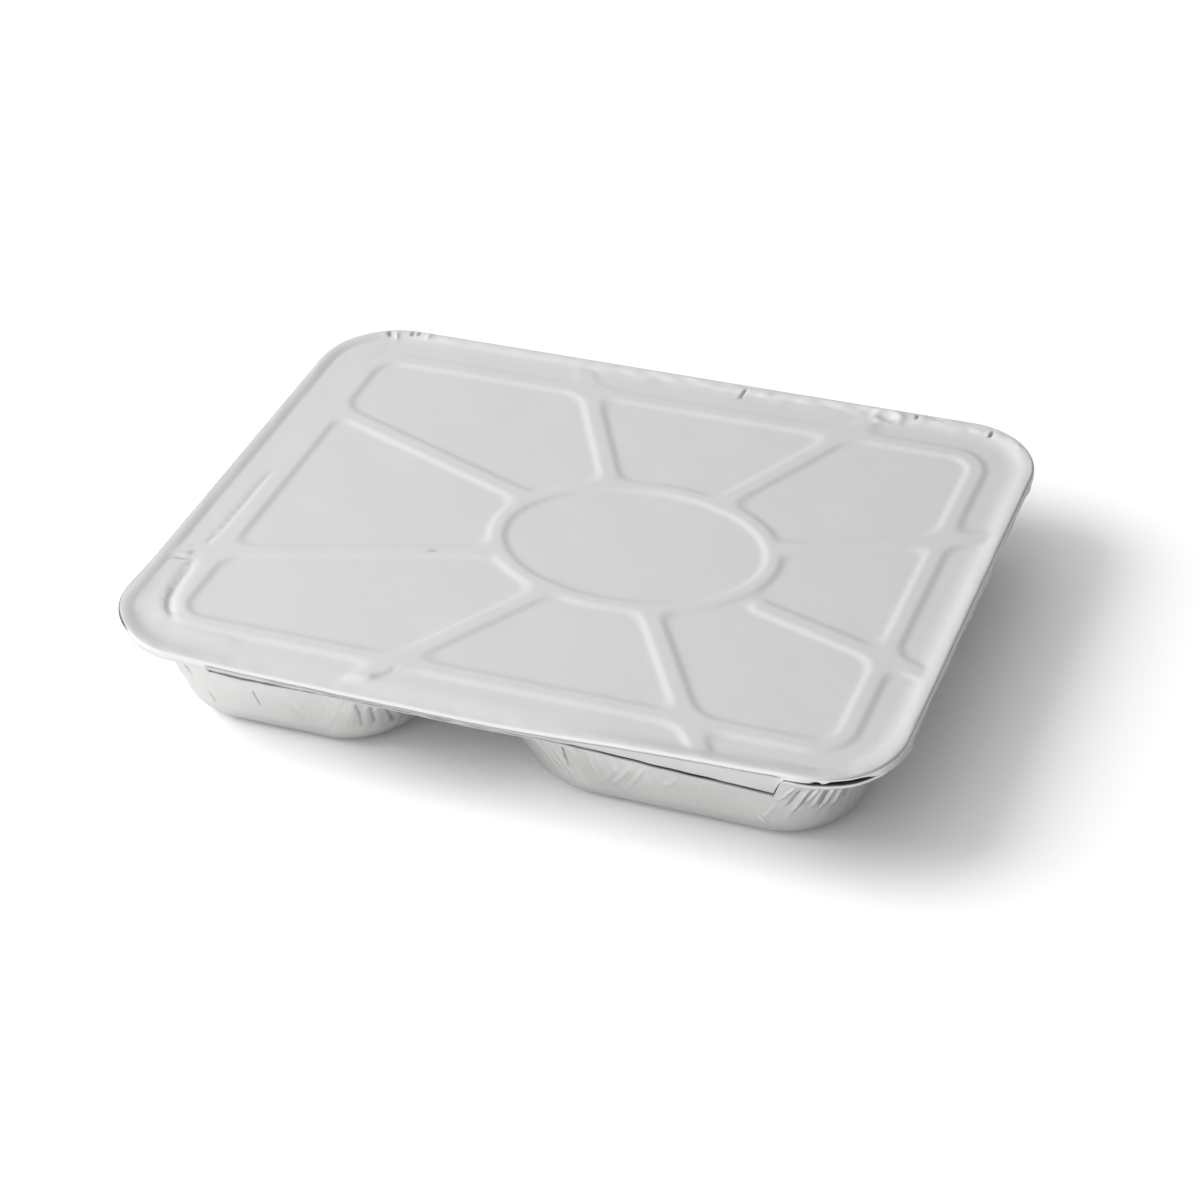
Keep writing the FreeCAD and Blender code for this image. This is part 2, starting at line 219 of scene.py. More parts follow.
# What handling and the press did to the lid's face: heights in millimetres, with the sizes of the
# swells that carry them and the places where they start, run and fade.
broad_swell, broad_size = 0.035, 34.0
small_swell, small_size = 0.006, 11.0
swell_start, swell_run = 1.0, 6.0
rim_swell, rim_swell_size = 0.05, 9.0
back_dents, back_dent_size, back_dent_squeeze = 0.10, 7.0, 1.6
back_dent_inset, back_dent_run = 7, 3.0
back_dent_left, back_dent_fade = -60, 40
frame_overlap = 0.7
left_raise, left_raise_x, left_raise_y, left_raise_run = 0.92, -92, -76, 8
back_raise, back_raise_y, back_raise_run = 0.6, 66, 6
back_raise_end, back_raise_fade = 70, 20
groove_fade, groove_overlap = 5, 0.1
pad_reach = 3.2
inner_spread = 2.4
bump_at, bump_reach = (64, 84.5), (4.2, 2.6)
bump_height, bump_width = 0.55, 0.4
bump_open, bump_open_run = 58, 4
pit_depth, pit_reach = 0.5, 0.8


def lid_level(x, y):
    """Height of the lid's top face inside its rim's crest."""
    inset = -past_plan(x, y, 0.0, plan_radius)
    crest = field_level + rib_rise
    relief = field_level + rib_rise * (1 - ease(near_ribs(x, y) / rib_flank))
    slope = rim_top - (rim_top - field_level) * ease((inset - rim_crest) / (rim_slope_end - rim_crest))
    soft = np.maximum(slope_join - np.abs(relief - slope), 0) / slope_join
    level = np.maximum(relief, slope) + soft * soft * slope_join / 4

    past_frame = ease(past_plan(x, y, frame_inset, frame_radius) + frame_overlap)
    on_left = left_raise * ease((left_raise_x - x) / left_raise_run)
    on_left = on_left * ease((y - left_raise_y) / left_raise_run)
    at_back = back_raise * ease((y - back_raise_y) / back_raise_run)
    at_back = at_back * ease((back_raise_end - x) / back_raise_fade)
    level += np.maximum(crest - level, 0) * past_frame * np.maximum(on_left, at_back)

    inner = ease((inset - swell_start) / swell_run)
    broad = broad_swell * waves(x, y, broad_size, seed=3) * inner
    level += broad + small_swell * waves(x, y, small_size, seed=4) * inner
    back_rim = ease((y - (half_width - back_dent_inset)) / back_dent_run)
    dents = back_dents * back_rim * waves(x, y * back_dent_squeeze, back_dent_size, seed=5)
    level += dents * ease((x - back_dent_left) / back_dent_fade)
    level += rim_swell * (1 - inner) * waves(x, y, rim_swell_size, seed=6)

    for at, degrees, length, width, depth, _ in rim_pinches:
        level += pinch(x, y, at, degrees, length, width, depth)
    for line, width, depth, lifted in grooves:
        away, where, inner_side = near_line(x, y, line)
        shown = ease(where * groove_fade + groove_overlap) * ease((1 - where) * groove_fade + groove_overlap)
        pad = np.exp(-(away / pad_reach) ** 4) * shown * lifted
        level += np.maximum(crest - level, 0) * pad
        spread = np.where(inner_side, inner_spread * width, width)
        level -= depth * np.exp(-(away / spread) ** 2) * shown

    bump = np.hypot((x - bump_at[0]) / bump_reach[0], (y - bump_at[1]) / bump_reach[1])
    ring = bump_height * np.exp(-((bump - 1) / bump_width) ** 2) * ease((x - bump_open) / bump_open_run)
    level += ring - pit_depth * np.exp(-(bump / pit_reach) ** 2)
    return level


# The lid's edge
# The sheet runs on over the rim's crest and is folded down as four flaps, deepest at the front right,
# where it hangs open. Round the corners it is only turned down a little, over the tray's rolled rim.
fold_radius = 0.8
side_flap = 3.4
corner_edge = 1.9
front_flap = (
    (-80, 3.4), (-65, 3.6), (-50, 3.0), (-35, 2.4), (-20, 2.5), (10, 2.5), (22, 2.7), (37, 4.1),
    (51, 5.3), (65, 6.2), (79, 7.2), (87, 7.6),
)
front_flap_ends = (-77.2, 86.0)
# Creases along the front flap, from its fold down: how far below the fold a row lies (or, below 0,
# above the free edge), how far it stands out, and how much shade is painted on it, darkest in the
# slot under the band, where the gap lies in shadow.
flap_profile = (
    (0.05, 0.0, 0.0), (0.10, -0.04, 0.3), (0.14, -0.34, 0.6), (0.27, -0.34, 0.6), (0.36, -0.06, 0.35),
    (0.80, 0.10, 0.20), (-1.85, 0.20, 0.20), (-1.50, 0.18, 0.20), (-1.30, 0.12, 0.3),
    (-1.24, -0.60, 1.0), (-0.50, -0.62, 1.0), (-0.42, -0.02, 0.6), (0.0, 0.14, 0.0),
)
upper_creases = 5
fold_rows = 5
# Where the plan was pushed: its place, how far that reaches, and how far it went outwards.
corner_pushes = ((-104.5, -80.5, 9.0, -0.8), (-113.5, -63.0, 9.0, 0.55))
slope_insets = (1.15, 1.5, 1.9, 2.4, 2.9, 3.4, 3.9, 4.5, 5.1)
fine_reach = 5.0
corner_step = 0.75
least_step = 0.3


def plan_walk(radius, step, fine_step, fine_spots):
    """Points round the lid's plan, counter-clockwise from the front left, with their outward normals."""
    sides = ((0, -1), (1, 0), (0, 1), (-1, 0))
    points, normals = [], []
    span = (2 * (half_length - radius), 2 * (half_width - radius))
    for k, (nx, ny) in enumerate(sides):
        tx, ty = -ny, nx
        length = span[k % 2]
        centre = (nx * half_length, ny * half_width)
        at = -length / 2
        while at < length / 2 - least_step * fine_step:
            x, y = centre[0] + tx * at, centre[1] + ty * at
            points.append((x, y))
            normals.append((nx, ny))
            close = min(math.hypot(x - sx, y - sy) for sx, sy in fine_spots)
            at += fine_step if close < fine_reach else step
        corner = (nx + tx, ny + ty)
        cx, cy = corner[0] * (half_length - radius), corner[1] * (half_width - radius)
        start = math.atan2(ny, nx)
        at = 0.0
        while at < math.pi / 2 * radius - least_step * fine_step:
            angle = start + at / radius
            ax, ay = math.cos(angle), math.sin(angle)
            points.append((cx + radius * ax, cy + radius * ay))
            normals.append((ax, ay))
            close = min(math.hypot(points[-1][0] - sx, points[-1][1] - sy) for sx, sy in fine_spots)
            at += fine_step if close < fine_reach else corner_step * step
    return np.array(points), np.array(normals)


def pushed_corner(path, normal):
    """The plan's front left corner was pushed in, and the side next to it bulged out a little."""
    push = np.zeros(len(path))
    for x, y, size, out in corner_pushes:
        push += out * np.exp(-(np.hypot(path[:, 0] - x, path[:, 1] - y) / size) ** 2)
    return path + normal * push[:, None]


side_margin = 0.5
flap_run = 2.0
flap_uneven, flap_uneven_size, flap_uneven_run = 0.22, 14.0, 6.0
front_start_run, front_end_run = 0.8, 0.5
front_lean, front_lean_gain, front_lean_x, front_lean_run = -0.35, 0.75, 25, 40
plain_lean, plain_lean_sway, plain_lean_size = -0.25, 0.25, 22.0
loose_corner, loose_reach, loose_edge = (102, -84), 19.0, 1.1
notch_x, notch_width = 97.5, 0.9
side_drop, side_drop_x, side_drop_run, side_drop_end = 1.5, 105, 6, -60


def flap_shape(x, y):
    """Depth of the folded edge below the rim's crest, and how far its free edge leans outwards."""
    on_long_side = np.abs(y) > half_width - side_margin
    reach = np.where(on_long_side, half_length - plan_radius - np.abs(x),
                     half_width - plan_radius - np.abs(y))
    depth = corner_edge + (side_flap - corner_edge) * ease(reach / flap_run + 0.5)
    depth += flap_uneven * waves(x, y, flap_uneven_size, seed=8) * ease(reach / flap_uneven_run)
    front = y < -half_width + side_margin
    inside = ease((x - front_flap_ends[0]) / front_start_run + 0.5)
    inside = inside * ease((front_flap_ends[1] - x) / front_end_run + 0.5)
    front_depth = corner_edge + (np.interp(x, *zip(*front_flap)) - corner_edge) * inside
    depth = np.where(front, front_depth, depth)
    lean = np.where(front, front_lean + front_lean_gain * ease((x - front_lean_x) / front_lean_run),
                    plain_lean + plain_lean_sway * waves(x, y, plain_lean_size, seed=9))
    lifted = np.exp(-(np.hypot(x - loose_corner[0], y - loose_corner[1]) / loose_reach) ** 6)
    lifted = lifted * (1 - np.exp(-((x - notch_x) / notch_width) ** 2))
    on_side = np.abs(y) < half_width - side_margin
    depth = depth + side_drop * ease((x - side_drop_x) / side_drop_run) * (y < side_drop_end) * on_side
    depth = depth - (corner_edge - loose_edge) * lifted * (np.abs(x) > front_flap_ends[1])
    return depth, lean


plain_step, fine_step = 1.3, 0.42
bump_spots = [(60, 88), (68, 88)]
fine_spots = [at for at, *_ in rim_pinches] + bump_spots
lid_path, lid_normal = plan_walk(plan_radius, plain_step, fine_step, fine_spots)
lid_path = pushed_corner(lid_path, lid_normal)
path_x, path_y = lid_path[:, 0], lid_path[:, 1]
flap_depth, flap_lean = flap_shape(path_x, path_y)

# At the front right the lid stands off the tray's rim.
lift_centre, lift_height, lift_reach = (101, -83), 0.95, 20.0
corner_away = np.hypot(path_x - lift_centre[0], path_y - lift_centre[1])
corner_lift = lift_height * np.exp(-(corner_away / lift_reach) ** 4)

flap_edge_run, deep_end_reach, deep_end_lean = 0.6, 1.6, 0.8
in_front_flap = ease((path_x - front_flap_ends[0]) / flap_edge_run + 0.5)
in_front_flap = in_front_flap * ease((front_flap_ends[1] - path_x) / front_end_run + 0.5)
in_front_flap = in_front_flap * (path_y < -half_width + side_margin)
deep_end = in_front_flap * np.exp(-np.maximum(front_flap_ends[1] - path_x, 0) / deep_end_reach)
# Painted shade: a dark line along the fold on the left side, and a darker flap and fold on the right side,
# which stands in shadow.
left_side_x, left_side_run, left_side_y, left_side_fade = -90, 12, -84, 4
right_side_x, right_side_run = 108, 5
left_side = ease((left_side_x - path_x) / left_side_run) * ease((path_y - left_side_y) / left_side_fade)
right_side = ease((path_x - right_side_x) / right_side_run)
left_fold_shade = (0.9, 0.9, 0.75, 0.2, 0.0)
right_flap_shade, right_fold_shade = 0.35, 0.15

crease_top, crease_step, crease_gap, upper_share = 0.58, 0.02, 0.01, 8
crease_sway, crease_sway_size = 0.45, 16.0
edge_wear, edge_wear_size, edge_wear_run = 0.08, 6.0, 3
last_crease = len(flap_profile) - 1
rows, edge_shade = [], []
for k, (down, out, shade) in reversed(list(enumerate(flap_profile))):
    length = flap_depth - fold_radius
    plain_drop = length * k / last_crease
    if k > upper_creases:
        creased_drop = np.maximum(length + down, crease_top + crease_step * k)
    else:
        creased_drop = np.minimum(down, length * k / upper_share)
    creased_drop = np.minimum(creased_drop, length - crease_gap * (last_crease - k))
    drop = plain_drop + (creased_drop - plain_drop) * in_front_flap
    share = drop / length
    uneven = 1 + crease_sway * waves(path_x, path_y, crease_sway_size, seed=13 + k)
    worn = edge_wear * waves(path_x, path_y + 2 * share, edge_wear_size, seed=11)
    worn = worn * ease(share * edge_wear_run)
    reach = flap_lean * share ** 2 + out * in_front_flap * uneven + worn + deep_end_lean * deep_end * share
    x, y = path_x + lid_normal[:, 0] * reach, path_y + lid_normal[:, 1] * reach
    rows.append((x, y, rim_top - fold_radius - drop))
    edge_shade.append(shade * in_front_flap + right_flap_shade * right_side)
for step in range(1, fold_rows + 1):
    angle = math.pi / 2 * step / fold_rows
    inset = fold_radius * (1 - math.cos(angle))
    x, y = path_x - lid_normal[:, 0] * inset, path_y - lid_normal[:, 1] * inset
    rows.append((x, y, rim_top - fold_radius * (1 - math.sin(angle))))
    edge_shade.append(left_fold_shade[step - 1] * left_side + right_fold_shade * right_side)
for inset in slope_insets:
    x, y = path_x - lid_normal[:, 0] * inset, path_y - lid_normal[:, 1] * inset
    rows.append((x, y, lid_level(x, y)))
    edge_shade.append(crack_shade(x, y))
edge_points = [np.column_stack([x, y, z + sag(x, y) + corner_lift]) for x, y, z in rows]
edge_points = np.array(edge_points)
row_count, path_count = edge_points.shape[:2]

# Inside the rim the sheet is a net of points: close where ribs rise, wide on the flat fields.
fine_net, wide_net = 0.80, 2.1
flank_margin = (-0.8, 0.5)
net_clear = 0.6
spots = []
for pitch, close in ((fine_net, True), (wide_net, False)):
    step_y = pitch * math.sqrt(3) / 2
    ys = np.arange(-half_width, half_width, step_y)
    xs = np.arange(-half_length, half_length, pitch)
    gx, gy = np.meshgrid(xs, ys)
    gx = gx + (np.arange(len(ys)) % 2)[:, None] * pitch / 2
    gx, gy = gx.ravel(), gy.ravel()
    away = near_ribs(gx, gy)
    on_flank = (away > flank_margin[0]) & (away < rib_flank + flank_margin[1])
    keep = on_flank if close else ~on_flank
    keep &= -past_plan(gx, gy, 0.0, plan_radius) > slope_insets[-1] + net_clear * pitch
    spots.append(np.stack([gx[keep], gy[keep]], axis=1))
net = np.concatenate([edge_points[-1][:, :2]] + spots)
border = [(k, (k + 1) % path_count) for k in range(path_count)]
laid, _, triangles, _, _, _ = delaunay_2d_cdt([Vector(p) for p in net.tolist()], border, [], 1, 1e-6)
laid = np.array([tuple(p) for p in laid])
inner_level = lid_level(laid[:, 0], laid[:, 1]) + sag(laid[:, 0], laid[:, 1])
inner_level[:path_count] = edge_points[-1][:, 2]

lid_points = np.concatenate([edge_points[:-1].reshape(-1, 3), np.column_stack([laid, inner_level])])
lid_shade = np.concatenate(edge_shade[:-1] + [crack_shade(laid[:, 0], laid[:, 1])])
lid_faces = []
for row in range(row_count - 1):
    low, high = row * path_count, (row + 1) * path_count
    for k in range(path_count):
        following = (k + 1) % path_count
        lid_faces.append((low + k, low + following, high + following, high + k))
first_inner = (row_count - 1) * path_count
for face in triangles:
    a, b, c = (laid[i] for i in face[:3])
    turn = (b[0] - a[0]) * (c[1] - a[1]) - (b[1] - a[1]) * (c[0] - a[0])
    order = face if turn > 0 else face[::-1]
    lid_faces.append(tuple(first_inner + i for i in order))


def foil_piece(name, points, faces, shade, thickness):
    """A smooth mesh of foil, with its sheet's thickness on the inner side, and the shade painted into its
    cracks, creases and gaps.
    """
    mesh = bpy.data.meshes.new(name)
    mesh.from_pydata((np.asarray(points) * MM).tolist(), [], faces)
    mesh.update()
    mesh.shade_smooth()
    mesh.attributes.new("painted_shade", "FLOAT", "POINT").data.foreach_set("value", shade.astype(np.float32))
    piece = bpy.data.objects.new(name, mesh)
    bpy.context.scene.collection.objects.link(piece)
    sheet = piece.modifiers.new("gauge", "SOLIDIFY")
    sheet.thickness = thickness * MM
    sheet.offset = -1.0
    return piece


lid_gauge = 0.12
lid = foil_piece("folded_lid", lid_points, lid_faces, lid_shade, lid_gauge)


mottle_tone = 0.985
# Painted shade in cracks, creases and gaps is this dark colour.
painted_shade_colour = (0.05, 0.05, 0.045, 1)
roughness_sway = 0.015


def satin_foil(name, colour, roughness, grain):
    """Rolled aluminium foil: metal with fine rolling lines, faint mottling and handling marks, darkened
    where shade is painted.
    """
    material = bpy.data.materials.new(name)
    material.use_nodes = True
    nodes, links = material.node_tree.nodes, material.node_tree.links
    shader = nodes["Principled BSDF"]
    shader.inputs["Metallic"].default_value = 1.0
    place = nodes.new("ShaderNodeTexCoord")

    def noise(scale, stretch, detail):
        mapping = nodes.new("ShaderNodeMapping")
        mapping.inputs["Scale"].default_value = stretch
        links.new(place.outputs["Object"], mapping.inputs["Vector"])
        texture = nodes.new("ShaderNodeTexNoise")
        texture.inputs["Scale"].default_value = scale
        texture.inputs["Detail"].default_value = detail
        links.new(mapping.outputs["Vector"], texture.inputs["Vector"])
        return texture.outputs["Fac"]

    def span(value, low, high):
        ramp = nodes.new("ShaderNodeMapRange")
        ramp.inputs["From Min"].default_value = 0.3
        ramp.inputs["From Max"].default_value = 0.7
        ramp.inputs["To Min"].default_value = low
        ramp.inputs["To Max"].default_value = high
        links.new(value, ramp.inputs["Value"])
        return ramp.outputs["Result"]

    mottling = noise(scale=160.0, stretch=(1, 1, 1), detail=3.0)
    rolling = noise(scale=900.0, stretch=(0.06, 1, 1), detail=2.0)
    shade = nodes.new("ShaderNodeMix")
    shade.data_type = "RGBA"
    shade.inputs["A"].default_value = (*[c * mottle_tone for c in colour], 1)
    shade.inputs["B"].default_value = (*colour, 1)
    links.new(span(mottling, 0.0, 1.0), shade.inputs["Factor"])
    # Painted shade: a value on each point of the mesh darkens the colour in cracks, creases, gaps and
    # shadowed flaps.
    shade_attribute = nodes.new("ShaderNodeAttribute")
    shade_attribute.attribute_name = "painted_shade"
    painted_shade_mix = nodes.new("ShaderNodeMix")
    painted_shade_mix.data_type = "RGBA"
    painted_shade_mix.inputs["B"].default_value = painted_shade_colour
    links.new(shade_attribute.outputs["Fac"], painted_shade_mix.inputs["Factor"])
    links.new(shade.outputs["Result"], painted_shade_mix.inputs["A"])
    links.new(painted_shade_mix.outputs["Result"], shader.inputs["Base Color"])
    uneven = span(mottling, roughness - roughness_sway, roughness + roughness_sway)
    links.new(uneven, shader.inputs["Roughness"])
    lines = nodes.new("ShaderNodeBump")
    lines.inputs["Strength"].default_value = grain
    lines.inputs["Distance"].default_value = 0.00002
    links.new(rolling, lines.inputs["Height"])
    dimples = nodes.new("ShaderNodeBump")
    dimples.inputs["Strength"].default_value = grain
    dimples.inputs["Distance"].default_value = 0.00004
    links.new(noise(scale=420.0, stretch=(1, 1, 1), detail=2.0), dimples.inputs["Height"])
    links.new(lines.outputs["Normal"], dimples.inputs["Normal"])
    links.new(dimples.outputs["Normal"], shader.inputs["Normal"])
    return material


lid_colour, lid_roughness, lid_grain = (0.885, 0.885, 0.88), 0.55, 0.3
lid.data.materials.append(satin_foil("lid_foil", lid_colour, lid_roughness, lid_grain))
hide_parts("foil_lid")
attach(lid, "root")

# The tray
# One sheet of foil pressed into two compartments with a flat flange between and round them. Its
# corners are gathered into pleats, and its edge is rolled over and down into an open bead.
_, tray_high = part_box("foil_tray")
bead_radius = 1.1
bead_inset = 1.4
bead_centre = tray_high.z / MM - bead_radius
flange_drop = 0.76
flange_level = bead_centre - flange_drop
bead_angles = (235.0, -43.7)
bead_steps = 12
flange_width = 7.5
divider_x = -10.5
divider_width = 9.0
outer_draft = 4.4
divider_draft = 14.5
mouth_radius = 21.0
left_end_draft = 7.6
right_end_draft = 7.4
floor_corner = 21.5
floor_fillet = 6.5
wall_pitch = 1.8
front_pitch = 0.34
plain_corner_pitch = 0.9
corner_pitch = 0.34
wall_rows = 23
fillet_rows = 5
floor_net = 3.4
tray_gauge = 0.12
flange_net = 3.2
bead_wear, bead_wear_size = 0.06, 5.0


def rolled_bead(path, normal):
    """Rows of points over the bead, from its free edge under the rim to the flange."""
    rows = []
    for step in range(bead_steps + 1):
        angle = math.radians(bead_angles[0] + (bead_angles[1] - bead_angles[0]) * step / bead_steps)
        inset = bead_inset + bead_radius * math.cos(angle)
        x, y = path[:, 0] - normal[:, 0] * inset, path[:, 1] - normal[:, 1] * inset
        height = bead_centre + bead_radius * math.sin(angle)
        worn = bead_wear * waves(path[:, 0], path[:, 1], bead_wear_size, seed=21)
        rows.append(np.column_stack([x, y, height + worn + sag(x, y)]))
    return rows


def wall_walk(left, right):
    """Round one compartment: for each point its two corners, the share between, direction and path."""
    straights = (2 * (half_width - flange_width - mouth_radius), right - left - 2 * mouth_radius)
    stations = []
    travelled = 0.0
    for corner in range(4):
        start = -90 + 90 * corner
        at_front = corner in (0, 3)
        pitch = corner_pitch if at_front else plain_corner_pitch
        turns = round(math.pi / 2 * mouth_radius / pitch)
        for k in range(turns):
            stations.append((corner, corner, 0.0, math.radians(start + 90 * k / turns), travelled, 1.0))
            travelled += math.pi / 2 * mouth_radius / turns
        length = straights[corner % 2]
        steps = round(length / (front_pitch if corner == 3 else wall_pitch))
        for k in range(steps):
            stations.append((corner, (corner + 1) % 4, k / steps, math.radians(start + 90), travelled, 0.0))
            travelled += length / steps
    return np.array(stations), travelled


# Pleats are close, deep and narrow in the corners, and few, soft and wide between them. Each is
# drawn at random between two sizes.
pleat_gap, plain_gap = (1.5, 2.9), (3.0, 13.0)
pleat_depth, plain_depth = (0.10, 0.34), (0.02, 0.10)
pleat_width, plain_width = (0.34, 0.55), (0.7, 1.6)
pleat_top, pleat_foot, pleat_lean = (19, 27), (6, 14), (-0.08, 0.10)
lean_level = 17
foot_run, top_run = 5.0, 3.0
shoulder, shoulder_width = 0.55, 2.4


def gathers(travelled, whole, in_corner, z, seed):
    """Pleats of the corners, and a few soft ones between them: each a narrow fold of its own length."""
    draw = np.random.RandomState(seed)
    total = np.zeros(np.shape(travelled))
    at = 0.0
    while at < whole:
        cornered = in_corner(at) > 0.5
        at += draw.uniform(*(pleat_gap if cornered else plain_gap))
        depth = draw.uniform(*(pleat_depth if cornered else plain_depth))
        width = draw.uniform(*(pleat_width if cornered else plain_width))
        top, foot = draw.uniform(*pleat_top), draw.uniform(*pleat_foot)
        middle = at + draw.uniform(*pleat_lean) * (z - lean_level)
        away = np.abs((travelled - middle + whole / 2) % whole - whole / 2) / width
        shown = ease((z - foot) / foot_run + 0.5) * ease((top - z) / top_run + 0.5)
        fold = shoulder * np.exp(-(away / shoulder_width) ** 2) - np.exp(-away ** 1.5)
        total += depth * shown * fold
    return total


# How far the folds lean at each place along the front: sideways for each millimetre of height.
fold_lean = (
    (-106, -0.3), (-90, -0.5), (-83, -0.4), (-68, -0.27), (-50, 0.0), (-24, 0.0), (22, -0.08), (29, 0.2),
    (34, 0.65), (46, 0.6), (52, 0.3), (60, 0.3), (76, 0.6), (84, 0.7), (88, 0.5), (99, 0.45), (103, 0.1),
)
# Creases on the front walls: their two ends as seen from the front, across and up, then their
# width, and how far they stand out or, below 0, in.
front_creases = (
    ((-89.9, 20.6), (-88.3, 17.4), 0.35, -0.40), ((-83.6, 11.9), (-82.3, 8.6), 0.35, -0.40),
    ((-69.2, 15.8), (-68.0, 11.3), 0.35, -0.45), ((-38.0, 18.2), (-37.6, 14.5), 0.40, -0.50),
    ((-37.6, 14.5), (-38.0, 9.7), 0.35, -0.35), ((-41.6, 16.5), (-41.9, 9.5), 0.5, 0.22),
    ((-39.8, 17.0), (-40.0, 10.5), 0.4, 0.25), ((-35.4, 17.2), (-35.7, 10.0), 0.45, 0.35),
    ((-34.2, 17.4), (-34.4, 11.0), 0.35, -0.40), ((-32.6, 17.4), (-32.9, 9.5), 0.45, 0.30),
    ((-30.4, 17.5), (-30.6, 9.5), 0.45, -0.35), ((-28.6, 17.8), (-28.9, 10.0), 0.45, 0.30),
    ((-27.2, 17.6), (-27.0, 13.0), 0.40, -0.40), ((-26.3, 18.4), (-23.6, 16.0), 0.32, 0.35),
    ((-23.6, 18.6), (-26.5, 16.2), 0.32, 0.35), ((-58.0, 14.0), (-53.5, 8.5), 0.9, 0.14),
    ((-61.0, 13.0), (-56.5, 7.5), 0.8, -0.12), ((-71.5, 9.5), (-69.5, 5.5), 0.6, 0.14),
    ((22.8, 19.8), (23.4, 12.5), 0.35, -0.42), ((30.0, 20.0), (31.2, 11.0), 0.9, 0.16),
    ((33.2, 8.7), (37.6, 15.4), 0.7, 0.38), ((36.6, 9.6), (41.4, 16.6), 0.6, 0.42),
    ((40.7, 9.3), (45.2, 16.9), 0.6, 0.34), ((39.0, 9.0), (43.2, 15.5), 0.5, -0.30),
    ((51.4, 13.4), (53.3, 13.9), 0.5, 0.35), ((53.3, 13.9), (54.0, 15.6), 0.45, 0.35),
    ((60.0, 10.0), (62.5, 17.0), 0.9, 0.14), ((67.0, 8.0), (69.0, 15.0), 0.8, -0.12),
    ((77.5, 7.3), (79.4, 10.0), 0.5, 0.40), ((79.4, 10.0), (81.4, 13.6), 0.5, 0.30),
    ((83.6, 16.9), (86.8, 21.4), 0.42, 0.50), ((86.6, 12.8), (90.0, 19.9), 0.42, 0.55),
    ((89.6, 16.0), (92.9, 20.8), 0.40, 0.50), ((91.7, 15.0), (94.9, 22.6), 0.42, 0.55),
    ((93.9, 14.5), (96.9, 21.2), 0.42, 0.55), ((95.9, 14.0), (99.0, 21.4), 0.42, 0.50),
    ((85.2, 14.6), (88.4, 20.6), 0.40, -0.45), ((88.2, 14.2), (91.5, 20.4), 0.40, -0.45),
    ((93.0, 14.2), (95.9, 21.6), 0.40, -0.45), ((98.3, 15.0), (100.2, 21.0), 0.40, -0.45),
    ((101.4, 24.0), (100.4, 17.0), 0.35, -0.50),
)


mouth_flare, mouth_flare_rows = 0.6, 1.5
lean_height, lean_foot_run, lean_top, lean_top_run = 15, 3, 28, 4
lean_from, lean_run = 55, 20
front_from, front_run = 69, 3
left_by_hand, left_by_hand_x, right_by_hand, right_by_hand_x, by_hand_run = 0.8, -50, 0.5, 80, 4
crinkle, crinkle_size, crinkle_stretch = 0.035, 2.6, 0.3
broad_dents, broad_dent_size = 0.22, 26.0
small_dents, small_dent_size = 0.04, 8.0
dent_foot, dent_run = 1, 6.0
sharp_width, sharp_share, soft_share = 0.55, 0.65, 0.9
strong_from, strong_to, strong_gain = -45, -22, 1.4
painted_crease_depth, painted_crease_share = 0.34, 0.55


